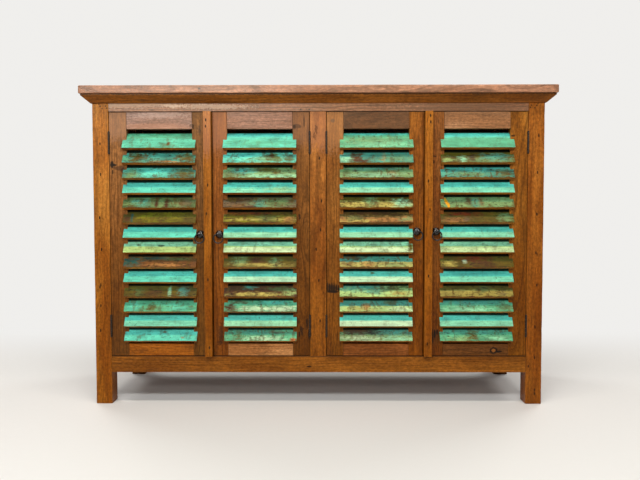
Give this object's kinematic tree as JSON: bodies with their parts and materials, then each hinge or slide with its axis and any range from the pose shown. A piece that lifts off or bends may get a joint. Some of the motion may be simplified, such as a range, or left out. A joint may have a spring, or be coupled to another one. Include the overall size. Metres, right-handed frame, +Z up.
{
  "type": "louvred door cabinet",
  "caption": "Low wooden cupboard on square legs, with louvred hinged doors in pairs, ring pulls, a moulded cornice and shelves inside.",
  "frame": {"origin": "on the floor, under the middle of the top board's outline", "axes": "+X across the front to the right as seen from the front, +Y to the back, +Z up; the doors face -Y"},
  "size_m": [1.5, 0.45, 1.015],
  "materials": {
    "honey_wood": "satin lacquer on reclaimed wood",
    "dark_wood": "satin lacquer, darker",
    "door_wood": "satin lacquer over stained reclaimed wood",
    "painted_slats": "worn turquoise and green paint",
    "inner_wood": "thin dark stain",
    "black_iron": "blackened, slightly polished by use"
  },
  "bodies": {
    "carcass": {"back_panel": "inner_wood", "bottom_rail_front": "honey_wood", "centre_mullion": "honey_wood", "centre_partition": "inner_wood", "cornice_front": "dark_wood", "cornice_left": "dark_wood", "cornice_right": "dark_wood", "floor_board": "inner_wood", "frame_1_lower_hinge_leaf": "black_iron", "frame_1_upper_hinge_leaf": "black_iron", "frame_2_lower_hinge_leaf": "black_iron", "frame_2_upper_hinge_leaf": "black_iron", "frame_3_lower_hinge_leaf": "black_iron", "frame_3_upper_hinge_leaf": "black_iron", "frame_4_lower_hinge_leaf": "black_iron", "frame_4_upper_hinge_leaf": "black_iron", "frieze_rail": "honey_wood", "post_front_left": "honey_wood", "post_front_right": "honey_wood", "post_rear_left": "honey_wood", "post_rear_right": "honey_wood", "shelf_left": "inner_wood", "shelf_right": "inner_wood", "side_panel_left": "honey_wood", "side_panel_right": "honey_wood", "top_board": "honey_wood"},
    "door_1": {"door_1_bottom_rail": "door_wood", "door_1_cover_strip": "honey_wood", "door_1_hinge_stile_and_slats": "painted_slats", "door_1_lock_stile": "door_wood", "door_1_lower_hinge_leaf": "black_iron", "door_1_pull_rose": "black_iron", "door_1_top_rail": "door_wood", "door_1_upper_hinge_leaf": "black_iron"},
    "ring_1": {"door_1_pull_ring": "black_iron"},
    "door_2": {"door_2_bottom_rail": "door_wood", "door_2_hinge_stile_and_slats": "painted_slats", "door_2_lock_stile": "door_wood", "door_2_lower_hinge_leaf": "black_iron", "door_2_pull_rose": "black_iron", "door_2_top_rail": "door_wood", "door_2_upper_hinge_leaf": "black_iron"},
    "ring_2": {"door_2_pull_ring": "black_iron"},
    "door_3": {"door_3_bottom_rail": "door_wood", "door_3_hinge_stile_and_slats": "painted_slats", "door_3_lock_stile": "door_wood", "door_3_lower_hinge_leaf": "black_iron", "door_3_pull_rose": "black_iron", "door_3_top_rail": "door_wood", "door_3_upper_hinge_leaf": "black_iron"},
    "ring_3": {"door_3_pull_ring": "black_iron"},
    "door_4": {"door_4_bottom_rail": "door_wood", "door_4_cover_strip": "honey_wood", "door_4_hinge_stile_and_slats": "painted_slats", "door_4_lock_stile": "door_wood", "door_4_lower_hinge_leaf": "black_iron", "door_4_pull_rose": "black_iron", "door_4_top_rail": "door_wood", "door_4_upper_hinge_leaf": "black_iron"},
    "ring_4": {"door_4_pull_ring": "black_iron"}
  },
  "joints": [
    {"name": "door_1_hinge", "type": "hinge", "parent": "carcass", "child": "door_1", "pos_m": [-0.666, -0.1945, 0.5461], "axis": [0, 0, -1], "range_deg": [0, 160]},
    {"name": "ring_1_swing", "type": "hinge", "parent": "door_1", "child": "ring_1", "pos_m": [-0.3756, -0.21625, 0.5505], "axis": [-1, 0, 0], "range_deg": [0, 110]},
    {"name": "door_2_hinge", "type": "hinge", "parent": "carcass", "child": "door_2", "pos_m": [-0.0265, -0.1945, 0.5461], "axis": [0, 0, 1], "range_deg": [0, 82]},
    {"name": "ring_2_swing", "type": "hinge", "parent": "door_2", "child": "ring_2", "pos_m": [-0.3155, -0.21625, 0.5505], "axis": [-1, 0, 0], "range_deg": [0, 110]},
    {"name": "door_3_hinge", "type": "hinge", "parent": "carcass", "child": "door_3", "pos_m": [0.0265, -0.1945, 0.5461], "axis": [0, 0, -1], "range_deg": [0, 82]},
    {"name": "ring_3_swing", "type": "hinge", "parent": "door_3", "child": "ring_3", "pos_m": [0.3155, -0.21625, 0.559], "axis": [-1, 0, 0], "range_deg": [0, 110]},
    {"name": "door_4_hinge", "type": "hinge", "parent": "carcass", "child": "door_4", "pos_m": [0.666, -0.1945, 0.5461], "axis": [0, 0, 1], "range_deg": [0, 160]},
    {"name": "ring_4_swing", "type": "hinge", "parent": "door_4", "child": "ring_4", "pos_m": [0.3756, -0.21625, 0.559], "axis": [-1, 0, 0], "range_deg": [0, 110]}
  ]
}
